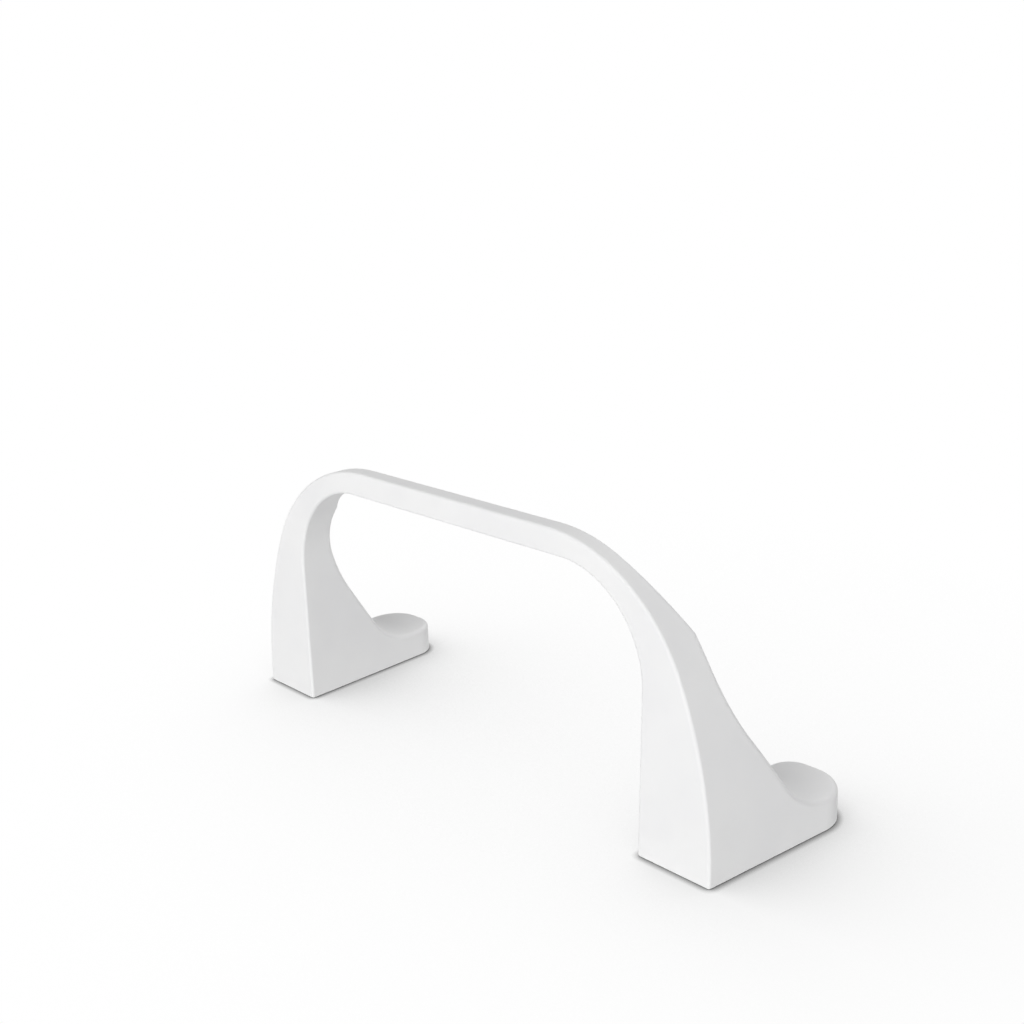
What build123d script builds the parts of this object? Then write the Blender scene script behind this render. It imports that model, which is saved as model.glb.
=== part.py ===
from build123d import *

import os
from math import asin, cos, degrees, radians, sin, tan

# Game controller stand, moulded in one piece.
# A flat-backed arch stands on two splayed feet. The front of each leg sweeps down and forward into a low
# toe, and the two hollows that this leaves are the seats. +X runs across the stand, -Y is the front, where
# the toes point, and +Z is up. The origin is on the table, in the middle of the stand's width and depth.

# Overall sizes, mm
stand_width = 116.7
stand_height = 50.5

# Outline of the arch, seen from the back
bar_thickness = 4.6
foot_width = 14.6
leg_rise = 1.9
side_turn = 24.0
shoulder_radius = 30.5
opening_radius = 17.4
opening_lean = 1.2
foot_splay = 4.5

# Side profile of the seats; depths are measured from the flat back
waist_depth = 7.0
waist_drop = 13.7
seat_radius = 30.0
seat_lean = 33.5
toe_height = 5.7
toe_radius = 12.0
toe_rise = 4.5
toe_length = 7.15

# Sloped front of the bar, which runs on around both shoulders
rim_depth = 3.35
crown_slope = 37.0
crown_turn = 24.0

# Rounded corners and edges
toe_outer_radius = 7.0
toe_inner_radius = 4.8
back_edge_radius = 0.5
edge_radius = 0.9
base_edge_radius = 0.3
smooth_angle = 12.0

# Spare length of the cutting shapes past the material
overrun = 6.0

# Outline: an upright foot, a long side arc, a tighter shoulder arc, and a level top
half_width = stand_width / 2
side_top = stand_height - shoulder_radius * (1 - sin(radians(side_turn)))
side_radius = (side_top - leg_rise) / sin(radians(side_turn))
shoulder_x = half_width - side_radius + (side_radius - shoulder_radius) * cos(radians(side_turn))
shoulder_z = stand_height - shoulder_radius

# Opening: legs that lean out a little, a corner arc, and a level underside
opening_foot_x = half_width - foot_width
opening_z = stand_height - bar_thickness - opening_radius
opening_edge_z = opening_z - opening_radius * sin(radians(opening_lean))
opening_lean_x = opening_edge_z * tan(radians(opening_lean))
opening_x = opening_foot_x + opening_lean_x - opening_radius * cos(radians(opening_lean))

# Seat: a hollow at the waist, a straight lean, and a bend that runs out along the toe
waist_height = stand_height - waist_drop
seat_top_angle = degrees(asin((stand_height + overrun / 2 - waist_height) / seat_radius))
lean_end_z = waist_height - seat_radius * sin(radians(seat_lean))
lean_end_depth = waist_depth + seat_radius * (1 - cos(radians(seat_lean)))
toe_centre_z = toe_height + toe_radius
toe_start_z = toe_centre_z - toe_radius * sin(radians(seat_lean))
toe_start_depth = lean_end_depth + (lean_end_z - toe_start_z) * tan(radians(seat_lean))
dip_depth = toe_start_depth + toe_radius * cos(radians(seat_lean))
foot_reach = dip_depth + toe_length
back_y = foot_reach / 2
seat_centre = (back_y - waist_depth - seat_radius, waist_height)
toe_centre = (back_y - dip_depth, toe_centre_z)
front_y = -back_y - overrun
toe_shift = foot_reach * tan(radians(foot_splay))
toe_middle_x = half_width - foot_width / 2 + toe_shift
side_x = half_width + toe_shift + overrun

# Crown: its shoulder arc follows the outline as the splay carries that outward over the rim's depth
back_plane = Plane.XZ.offset(-back_y)
crown_plane = Plane.XZ.offset(rim_depth - back_y)
crown_x = shoulder_x + rim_depth * tan(radians(foot_splay))
splay_direction = Vector(sin(radians(foot_splay)), -cos(radians(foot_splay)), 0)


def sharp_edges(part):
    """Return the edges above the ground where two faces meet at a corner, and leave out smooth seams."""
    borders = [(face, face.edges()) for face in part.faces()]
    corners = ShapeList()
    for edge in part.edges().filter_by(lambda edge: edge.center().Z > base_edge_radius):
        middle = edge @ 0.5
        one, other = [face.normal_at(middle) for face, border in borders
                      if any(side.is_same(edge) for side in border)]
        if one.get_angle(other) > smooth_angle:
            corners.append(edge)
    return corners


def toe_corners(part, outer):
    """Return the upright edges at the ends of the toes, on the outer or the inner side of both feet."""
    upright = part.edges().group_by(Axis.Y)[0].filter_by(Axis.X, reverse=True)
    return upright.filter_by(lambda edge: (abs(edge.center().X) > toe_middle_x) == outer)


# The space in front of the bar: a block, less the sloped mass that stays behind it
with BuildPart() as crown:
    with BuildSketch(crown_plane):
        with Locations((0, stand_height)):
            Rectangle(2 * side_x, 2 * (stand_height - lean_end_z))
    extrude(amount=lean_end_depth - rim_depth)
    with BuildSketch(crown_plane):
        with BuildLine():
            crown_arc = CenterArc((crown_x, shoulder_z), shoulder_radius, 90 - crown_turn, crown_turn)
            crown_fall = crown_arc % 0
            crown_foot = crown_arc @ 0 - crown_fall * ((crown_arc @ 0).Y / crown_fall.Y)
            Line(crown_arc @ 0, crown_foot)
            Line(crown_foot, (0, 0))
            Line(crown_arc @ 1, (0, stand_height))
            mirror(about=Plane.YZ)
        make_face()
    extrude(amount=lean_end_depth - rim_depth, taper=90 - crown_slope, mode=Mode.SUBTRACT)

with BuildPart() as stand:
    # One half of the arch, run forward along the splay of its foot, past the middle of the bar
    with BuildSketch(back_plane):
        with BuildLine():
            Line((-overrun, stand_height), (shoulder_x, stand_height))
            CenterArc((shoulder_x, shoulder_z), shoulder_radius, side_turn, 90 - side_turn)
            CenterArc((half_width - side_radius, leg_rise), side_radius, 0, side_turn)
            Line((half_width, leg_rise), (half_width, 0))
            Line((half_width, 0), (opening_foot_x, 0))
            opening_arc = CenterArc((opening_x, opening_z), opening_radius, -opening_lean, 90 + opening_lean)
            Line((opening_foot_x, 0), opening_arc @ 0)
            Line(opening_arc @ 1, (-overrun, stand_height - bar_thickness))
            Line((-overrun, stand_height - bar_thickness), (-overrun, stand_height))
        make_face()
    extrude(amount=foot_reach / cos(radians(foot_splay)), dir=splay_direction)
    mirror(about=Plane.YZ)

    # The seats: everything in front of and above one hollow side profile is open
    with BuildSketch(Plane.YZ):
        with BuildLine():
            hollow = CenterArc(seat_centre, seat_radius, -seat_lean, seat_lean + seat_top_angle)
            bend = CenterArc(toe_centre, toe_radius, -90 - toe_rise, 90 + toe_rise - seat_lean)
            toe_end = bend @ 0 + Vector(-1, tan(radians(toe_rise))) * ((bend @ 0).X - front_y)
            Line(hollow @ 0, bend @ 1)
            Line(bend @ 0, toe_end)
            Polyline(toe_end, (front_y, (hollow @ 1).Y), hollow @ 1)
        make_face()
    extrude(amount=side_x, both=True, mode=Mode.SUBTRACT)
    add(crown.part, mode=Mode.SUBTRACT)

    # Rounded toe corners, the crisp rim of the flat back, every softer rim, and the edges on the table
    fillet(toe_corners(stand.part, outer=False), toe_inner_radius)
    fillet(toe_corners(stand.part, outer=True), toe_outer_radius)
    fillet(sharp_edges(stand.part).group_by(Axis.Y)[-1], back_edge_radius)
    fillet(sharp_edges(stand.part), edge_radius)
    fillet(stand.edges().group_by(Axis.Z)[0], base_edge_radius)

os.makedirs("parts", exist_ok=True)
stand.part.label = "stand"
export_step(stand.part, "parts/stand.step")
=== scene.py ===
"""Studio scene of a game controller stand: one matte white moulding on a white floor."""

import logging
import math
from dataclasses import dataclass
from enum import Enum

import bmesh
import bpy
from mathutils import Euler, Matrix, Vector


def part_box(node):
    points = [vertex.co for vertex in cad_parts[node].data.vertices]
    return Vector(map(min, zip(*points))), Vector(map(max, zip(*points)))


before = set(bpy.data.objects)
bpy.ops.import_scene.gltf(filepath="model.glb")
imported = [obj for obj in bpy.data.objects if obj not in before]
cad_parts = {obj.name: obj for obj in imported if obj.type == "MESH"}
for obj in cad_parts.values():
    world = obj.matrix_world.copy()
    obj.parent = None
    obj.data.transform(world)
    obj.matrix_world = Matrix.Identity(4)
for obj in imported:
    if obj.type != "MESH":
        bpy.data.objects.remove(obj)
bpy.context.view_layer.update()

Color = tuple[float, float, float, float]
Direction = tuple[float, float, float]
Band = tuple[float, float]

MM = 0.001
WHITE: Color = (1.0, 1.0, 1.0, 1.0)
STRAIGHT_UP: Direction = (0.0, 0.0, 1.0)
log = logging.getLogger("stand")


class Ray(Enum):
    """Kinds of ray that see the white background instead of the light it gives."""

    CAMERA = "Is Camera Ray"
    GLOSSY = "Is Glossy Ray"
    TRANSMISSION = "Is Transmission Ray"


class Axis(Enum):
    """Axes of the stand's own frame, as outputs of a Separate XYZ node."""

    DEPTH = "Y"
    UP = "Z"


@dataclass(frozen=True)
class Pattern:
    """One layer of noise over a surface.

    Attributes:
        size: Length of one feature, in metres.
        detail: Number of finer layers.
        rough: Strength of each finer layer against the one before.
    """

    size: float
    detail: float
    rough: float


@dataclass(frozen=True)
class Signal:
    """A number that runs through a node tree and takes part in Python arithmetic."""

    graph: "Graph"
    socket: bpy.types.NodeSocket

    def _math(self, operation: str, first: "Signal | float", second: "Signal | float") -> "Signal":
        """Add a Math node.

        Args:
            operation: The Math node's operation.
            first: The upper value.
            second: The lower value.

        Returns:
            The node's result.
        """
        node = self.graph.add("ShaderNodeMath", {"operation": operation}, {0: first, 1: second})
        return self.graph.signal(node)

    def __add__(self, other: "Signal | float") -> "Signal":
        """Sum of two values."""
        return self._math("ADD", self, other)

    def __radd__(self, other: float) -> "Signal":
        """Sum with a plain number on the left."""
        return self._math("ADD", other, self)

    def __sub__(self, other: "Signal | float") -> "Signal":
        """Difference of two values."""
        return self._math("SUBTRACT", self, other)

    def __rsub__(self, other: float) -> "Signal":
        """Difference with a plain number on the left."""
        return self._math("SUBTRACT", other, self)

    def __mul__(self, other: "Signal | float") -> "Signal":
        """Product of two values."""
        return self._math("MULTIPLY", self, other)

    def __rmul__(self, other: float) -> "Signal":
        """Product with a plain number on the left."""
        return self._math("MULTIPLY", other, self)

    def larger(self, other: "Signal | float") -> "Signal":
        """The larger of two values."""
        return self._math("MAXIMUM", self, other)

    def power(self, exponent: float) -> "Signal":
        """The value raised to an exponent."""
        return self._math("POWER", self, exponent)

    def ramp(self, low: float, high: float) -> "Signal":
        """Rise smoothly from 0 at low to 1 at high.

        Args:
            low: The value that gives 0.
            high: The value that gives 1. It may lie below low, for a fall.

        Returns:
            The smooth step, held between 0 and 1.
        """
        node = self.graph.add(
            "ShaderNodeMapRange",
            {"interpolation_type": "SMOOTHSTEP"},
            {"Value": self, "From Min": low, "From Max": high},
        )
        return self.graph.signal(node, "Result")


class Graph:
    """A node tree, emptied and then filled through one method."""

    def __init__(self, tree: bpy.types.NodeTree) -> None:
        """Take over a tree and clear it.

        Args:
            tree: The node tree of a material or of the world.
        """
        self.tree = tree
        self.tree.nodes.clear()

    def add(
        self, kind: str, settings: dict | None = None, inputs: dict | None = None
    ) -> bpy.types.Node:
        """Add a node, set it up and connect it.

        Args:
            kind: The node's type name.
            settings: Attributes to set before the sockets are filled.
            inputs: Socket name or number to a value, a Signal, or a socket to link from.

        Returns:
            The new node.
        """
        node = self.tree.nodes.new(kind)
        for name, value in (settings or {}).items():
            setattr(node, name, value)
        for name, value in (inputs or {}).items():
            if isinstance(value, Signal):
                value = value.socket
            if isinstance(value, bpy.types.NodeSocket):
                self.tree.links.new(value, node.inputs[name])
            else:
                node.inputs[name].default_value = value
        return node

    def signal(self, node: bpy.types.Node, output: str | int = 0) -> Signal:
        """Wrap one output of a node."""
        return Signal(self, node.outputs[output])

    def noise(self, coordinates: bpy.types.NodeSocket, pattern: Pattern) -> Signal:
        """Add a noise pattern.

        Args:
            coordinates: Where the pattern is read, in metres.
            pattern: Its size and layers.

        Returns:
            The pattern, from 0 to 1.
        """
        inputs = {
            "Vector": coordinates,
            "Scale": 1 / pattern.size,
            "Detail": pattern.detail,
            "Roughness": pattern.rough,
        }
        return self.signal(self.add("ShaderNodeTexNoise", None, inputs))

    def background_rays(self) -> Signal:
        """Tell the rays that should see the white background from those that gather light.

        Returns:
            1 for the first, and 0 for the others.
        """
        path = self.add("ShaderNodeLightPath")
        camera, glossy, transmission = (self.signal(path, ray.value) for ray in Ray)
        return camera.larger(glossy).larger(transmission)

    def mix_colors(self, factor: Signal, first: Color, second: Color) -> bpy.types.NodeSocket:
        """Blend two colours.

        Args:
            factor: Share of the second colour, from 0 to 1.
            first: The colour that shows where the factor is 0.
            second: The colour that shows where it is 1.

        Returns:
            The blended colour.
        """
        # A Mix node's colours are its inputs 6 and 7, after those for numbers and vectors.
        inputs = {"Factor": factor, 6: first, 7: second}
        return self.add("ShaderNodeMix", {"data_type": "RGBA"}, inputs).outputs[2]

    def mix_shaders(
        self, factor: Signal, first: bpy.types.Node, second: bpy.types.Node
    ) -> bpy.types.Node:
        """Blend two shaders.

        Args:
            factor: Share of the second shader, from 0 to 1.
            first: The shader that shows where the factor is 0.
            second: The shader that shows where it is 1.

        Returns:
            The Mix Shader node.
        """
        inputs = {0: factor, 1: first.outputs[0], 2: second.outputs[0]}
        return self.add("ShaderNodeMixShader", None, inputs)


@dataclass(frozen=True)
class MatteMoulding:
    """Fine matte white plastic, as it comes out of a spark-eroded mould.

    Attributes:
        name: Name of the material.
        white: Linear colour of the clean surface.
        shade: Linear colour of the faintly deeper patches.
        ior: Index of refraction.
        specular: Strength of the surface's reflection; 0.5 would be plain for that index.
        roughness: Roughness of the untouched grain.
        grain: The fine dimples.
        grain_depth: Depth of the grain, in metres.
        grain_roughness: How much the roughness varies with the grain.
        swell: The slow waves that shrinkage leaves.
        swell_depth: Depth of those waves, in metres.
        patches: The patches of deeper white.
        patch_band: Values of that pattern between which the deeper white comes in.
        patch_roughness: How much the roughness varies with the patches.
        polish: How much smoother the seats are where they are rubbed.
        polish_band: Values of the patches between which the rubbed places begin.
        seat_forward: How far forward a seat faces.
        seat_up: How far up it faces.
        seat_band: Agreement with that direction between which a seat begins.
        seat_height: Heights between which the seats begin, from the upper one down, in metres.
    """

    name: str = "matte_white_moulding"
    white: Color = (0.86, 0.86, 0.86, 1.0)
    shade: Color = (0.83, 0.83, 0.835, 1.0)
    ior: float = 1.49
    specular: float = 0.35
    roughness: float = 0.6
    grain: Pattern = Pattern(size=0.35 * MM, detail=2.0, rough=0.6)
    grain_depth: float = 0.006 * MM
    grain_roughness: float = 0.08
    swell: Pattern = Pattern(size=9.0 * MM, detail=1.0, rough=0.4)
    swell_depth: float = 0.02 * MM
    patches: Pattern = Pattern(size=22.0 * MM, detail=3.0, rough=0.55)
    patch_band: Band = (0.35, 0.7)
    patch_roughness: float = 0.06
    polish: float = 0.1
    polish_band: Band = (0.3, 0.55)
    seat_forward: float = 0.6
    seat_up: float = 0.8
    seat_band: Band = (0.35, 0.75)
    seat_height: Band = (44 * MM, 34 * MM)

    def build(self) -> bpy.types.Material:
        """Make the material.

        Returns:
            A material that reads object coordinates in metres.
        """
        material = bpy.data.materials.new(self.name)
        material.use_nodes = True
        graph = Graph(material.node_tree)
        coordinates = graph.add("ShaderNodeTexCoord")
        place = coordinates.outputs["Object"]
        grain = graph.noise(place, self.grain)
        swell = graph.noise(place, self.swell)
        patches = graph.noise(place, self.patches)
        color = graph.mix_colors(patches.ramp(*self.patch_band), self.white, self.shade)
        rubbed = self._seats(graph, coordinates) * patches.ramp(*self.polish_band)
        uneven = (grain - 0.5) * self.grain_roughness + (patches - 0.5) * self.patch_roughness
        waves = graph.add("ShaderNodeBump", None, {"Distance": self.swell_depth, "Height": swell})
        bump = graph.add(
            "ShaderNodeBump",
            None,
            {"Distance": self.grain_depth, "Height": grain, "Normal": waves.outputs["Normal"]},
        )
        shader = graph.add(
            "ShaderNodeBsdfPrincipled",
            None,
            {
                "Base Color": color,
                "Roughness": self.roughness + uneven - rubbed * self.polish,
                "IOR": self.ior,
                "Specular IOR Level": self.specular,
                "Normal": bump.outputs["Normal"],
            },
        )
        graph.add("ShaderNodeOutputMaterial", None, {"Surface": shader.outputs["BSDF"]})
        return material

    def _seats(self, graph: Graph, coordinates: bpy.types.Node) -> Signal:
        """Mark the seats, which face up and forward over the toes.

        Args:
            graph: The material's nodes.
            coordinates: Its Texture Coordinate node.

        Returns:
            1 on the seats, falling to 0 around them.
        """
        place = graph.add("ShaderNodeSeparateXYZ", None, {0: coordinates.outputs["Object"]})
        facing = graph.add("ShaderNodeSeparateXYZ", None, {0: coordinates.outputs["Normal"]})
        height = graph.signal(place, Axis.UP.value)
        backward = graph.signal(facing, Axis.DEPTH.value)
        upward = graph.signal(facing, Axis.UP.value)
        agreement = upward * self.seat_up - backward * self.seat_forward
        return agreement.ramp(*self.seat_band) * height.ramp(*self.seat_height)


@dataclass
class Stand:
    """The stand itself: one moulding, with its CAD form and a moulded finish.

    Attributes:
        node: Name of the CAD node.
        finish: Finish of the plastic.
    """

    node: str = "stand"
    finish: MatteMoulding = MatteMoulding()

    def dress(self) -> bpy.types.Object:
        """Give the moulding its finish.

        Returns:
            The CAD node's object.
        """
        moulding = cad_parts[self.node]
        material = self.finish.build()
        for place in moulding.material_slots:
            place.material = material
        return moulding


@dataclass(frozen=True)
class StudioFloor:
    """A white floor that keeps the stand's soft shadow.

    Attributes:
        radius: Radius of the floor, in metres.
        sides: Number of sides of the disc.
        color: Linear colour of the floor, as it lights the stand.
        shade_reach: How far away the painted shade of the stand still darkens the floor, in metres.
        shade_power: How strongly it does; 1 would be as dark as plain skylight leaves it.
        shade_from: Direction from which the painted shade takes most of the soft light to come.
        contact_shadow_reach: How far the painted contact shadow, a thin dark line where the feet
            touch the floor, reaches, in metres.
        contact_shadow_power: How dark that painted contact shadow is.
        sky_samples: Number of directions in which the sky is looked for.
    """

    radius: float = 3.0
    sides: int = 96
    color: Color = (0.9, 0.9, 0.9, 1.0)
    shade_reach: float = 0.16
    shade_power: float = 0.5
    shade_from: Direction = (0.35, 0.35, 0.87)
    contact_shadow_reach: float = 1.3 * MM
    contact_shadow_power: float = 1.4
    sky_samples: int = 8

    def build(self) -> bpy.types.Object:
        """Make the floor under the stand.

        Returns:
            The floor.
        """
        mesh = bpy.data.meshes.new("floor")
        disc = bmesh.new()
        bmesh.ops.create_circle(disc, cap_ends=True, segments=self.sides, radius=self.radius)
        disc.to_mesh(mesh)
        disc.free()
        floor = bpy.data.objects.new("floor", mesh)
        bpy.context.scene.collection.objects.link(floor)
        mesh.materials.append(self._material())
        return floor

    def _material(self) -> bpy.types.Material:
        """Make the floor matt for the light it gives, and white with a soft shadow to look at.

        Returns:
            The floor's material.
        """
        material = bpy.data.materials.new("white_floor")
        material.use_nodes = True
        graph = Graph(material.node_tree)
        # Painted shadow: the white that the camera sees is darkened where the stand hides the sky,
        # as a painted soft shadow and a painted contact shadow.
        shade = self._open_sky(graph, self.shade_reach, self.shade_from).power(self.shade_power)
        contact_shadow = self._open_sky(graph, self.contact_shadow_reach).power(self.contact_shadow_power)
        matt = graph.add("ShaderNodeBsdfDiffuse", None, {"Color": self.color})
        hidden = graph.add("ShaderNodeEmission", None, {"Color": WHITE, "Strength": 0.0})
        bare = graph.add("ShaderNodeEmission", None, {"Color": WHITE, "Strength": 1.0})
        # What the camera sees is white light darkened by the painted soft shadow and the painted
        # contact shadow.
        seen = graph.mix_shaders(shade * contact_shadow, hidden, bare)
        surface = graph.mix_shaders(graph.background_rays(), matt, seen)
        graph.add("ShaderNodeOutputMaterial", None, {"Surface": surface.outputs[0]})
        return material

    def _open_sky(self, graph: Graph, reach: float, toward: Direction = STRAIGHT_UP) -> Signal:
        """Measure how much of the sky the floor still sees.

        Args:
            graph: The material's nodes.
            reach: Distance up to which something can hide the sky, in metres.
            toward: Direction of the brightest part of the sky.

        Returns:
            1 on the open floor, falling to 0 where all of the sky is hidden.
        """
        x, y, z = Vector(toward).normalized()
        brightest = graph.add("ShaderNodeCombineXYZ", None, {"X": x, "Y": y, "Z": z})
        sky = graph.add(
            "ShaderNodeAmbientOcclusion",
            {"samples": self.sky_samples},
            {"Distance": reach, "Normal": brightest.outputs[0]},
        )
        return graph.signal(sky, "AO")


@dataclass(frozen=True)
class Softbox:
    """A large square lamp that faces the stand.

    Attributes:
        name: Name of the lamp.
        azimuth: Direction to the lamp round the stand, in degrees; 0 is the front, 90 the +X side.
        elevation: Height of the lamp above the table, in degrees.
        power: Radiant power, in watts.
        distance: Distance from the stand, in metres.
        side: Length of its side, in metres.
    """

    name: str
    azimuth: float
    elevation: float
    power: float
    distance: float = 1.2
    side: float = 0.9

    def build(self, target: Vector) -> bpy.types.Object:
        """Hang the lamp so that it faces a point.

        Args:
            target: The point to light.

        Returns:
            The lamp.
        """
        lamp = bpy.data.lights.new(self.name, "AREA")
        lamp.shape = "SQUARE"
        lamp.size = self.side
        lamp.energy = self.power
        around = math.radians(self.azimuth)
        above = math.radians(self.elevation)
        toward = Vector((
            math.sin(around) * math.cos(above),
            -math.cos(around) * math.cos(above),
            math.sin(above),
        ))
        box = bpy.data.objects.new(self.name, lamp)
        box.location = target + toward * self.distance
        box.rotation_euler = toward.to_track_quat("Z", "Y").to_euler()
        bpy.context.scene.collection.objects.link(box)
        return box


@dataclass(frozen=True)
class Surroundings:
    """The white room around the stand, dimmer overhead than at eye level.

    Attributes:
        overhead: Strength of the light that falls from above.
        level: Strength of the light that comes in low, all around.
        band: Sine of the heights above the horizon between which one turns into the other.
    """

    overhead: float = 0.2
    level: float = 0.7
    band: Band = (0.1, 0.65)

    def build(self) -> None:
        """Fill the world's nodes."""
        world = bpy.data.worlds.new("white_room")
        bpy.context.scene.world = world
        world.use_nodes = True
        graph = Graph(world.node_tree)
        coordinates = graph.add("ShaderNodeTexCoord")
        direction = graph.add(
            "ShaderNodeSeparateXYZ", None, {0: coordinates.outputs["Generated"]}
        )
        rise = graph.signal(direction, Axis.UP.value).ramp(*self.band)
        low, high, seen = (
            graph.add("ShaderNodeBackground", None, {"Color": WHITE, "Strength": strength})
            for strength in (self.level, self.overhead, 1.0)
        )
        light = graph.mix_shaders(rise, low, high)
        surface = graph.mix_shaders(graph.background_rays(), light, seen)
        graph.add("ShaderNodeOutputWorld", None, {"Surface": surface.outputs[0]})


@dataclass(frozen=True)
class ViewCamera:
    """The camera at the photograph's viewing angle.

    Attributes:
        place: Where it stands, in metres.
        heading: Direction it looks along, in degrees from +X towards +Y.
        tilt: How far it looks down, in degrees.
        roll: How far it is turned about its own line of sight, in degrees.
        focal_px: Focal length in pixels of the photograph's frame.
        frame_px: Width of that frame, in pixels.
        sensor: Width of the camera's sensor, in millimetres.
        reach: Nearest and farthest distance that it shows, in metres.
    """

    place: tuple[float, float, float] = (-0.1743, 0.1648, 0.1140)
    heading: float = -43.0
    tilt: float = 16.2
    roll: float = -1.2
    focal_px: float = 1388.0
    frame_px: float = 1024.0
    sensor: float = 36.0
    reach: Band = (0.01, 20.0)

    def build(self) -> bpy.types.Object:
        """Set the camera up and make it the scene's.

        Returns:
            The camera.
        """
        lens = bpy.data.cameras.new("photo_camera")
        lens.sensor_width = self.sensor
        lens.lens = self.focal_px / self.frame_px * self.sensor
        lens.clip_start, lens.clip_end = self.reach
        camera = bpy.data.objects.new("photo_camera", lens)
        down, around = math.radians(90 - self.tilt), math.radians(self.heading - 90)
        facing = Euler((down, 0, around)).to_matrix()
        rolled = facing @ Matrix.Rotation(math.radians(self.roll), 3, "Z")
        camera.rotation_euler = rolled.to_euler()
        camera.location = self.place
        bpy.context.scene.collection.objects.link(camera)
        bpy.context.scene.camera = camera
        return camera


def main() -> None:
    """Dress the stand and set up the studio around it."""
    logging.basicConfig(level=logging.INFO, format="%(name)s: %(message)s")
    bpy.context.scene.view_settings.view_transform = "Standard"
    moulding = Stand().dress()
    log.info("%s has the finish %s", moulding.name, moulding.material_slots[0].name)
    floor = StudioFloor().build()
    log.info("%s is in place", floor.name)
    Surroundings().build()
    low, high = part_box(moulding.name)
    middle = (low + high) / 2
    softboxes = (
        Softbox("back_softbox", azimuth=203.0, elevation=25.0, power=9.7),
        Softbox("front_softbox", azimuth=10.0, elevation=35.0, power=5.0),
    )
    for softbox in softboxes:
        lamp = softbox.build(middle)
        log.info("%s hangs at %s", lamp.name, tuple(round(v, 3) for v in lamp.location))
    camera = ViewCamera().build()
    log.info("%s is the scene's camera", camera.name)


if __name__ == "__main__":
    main()
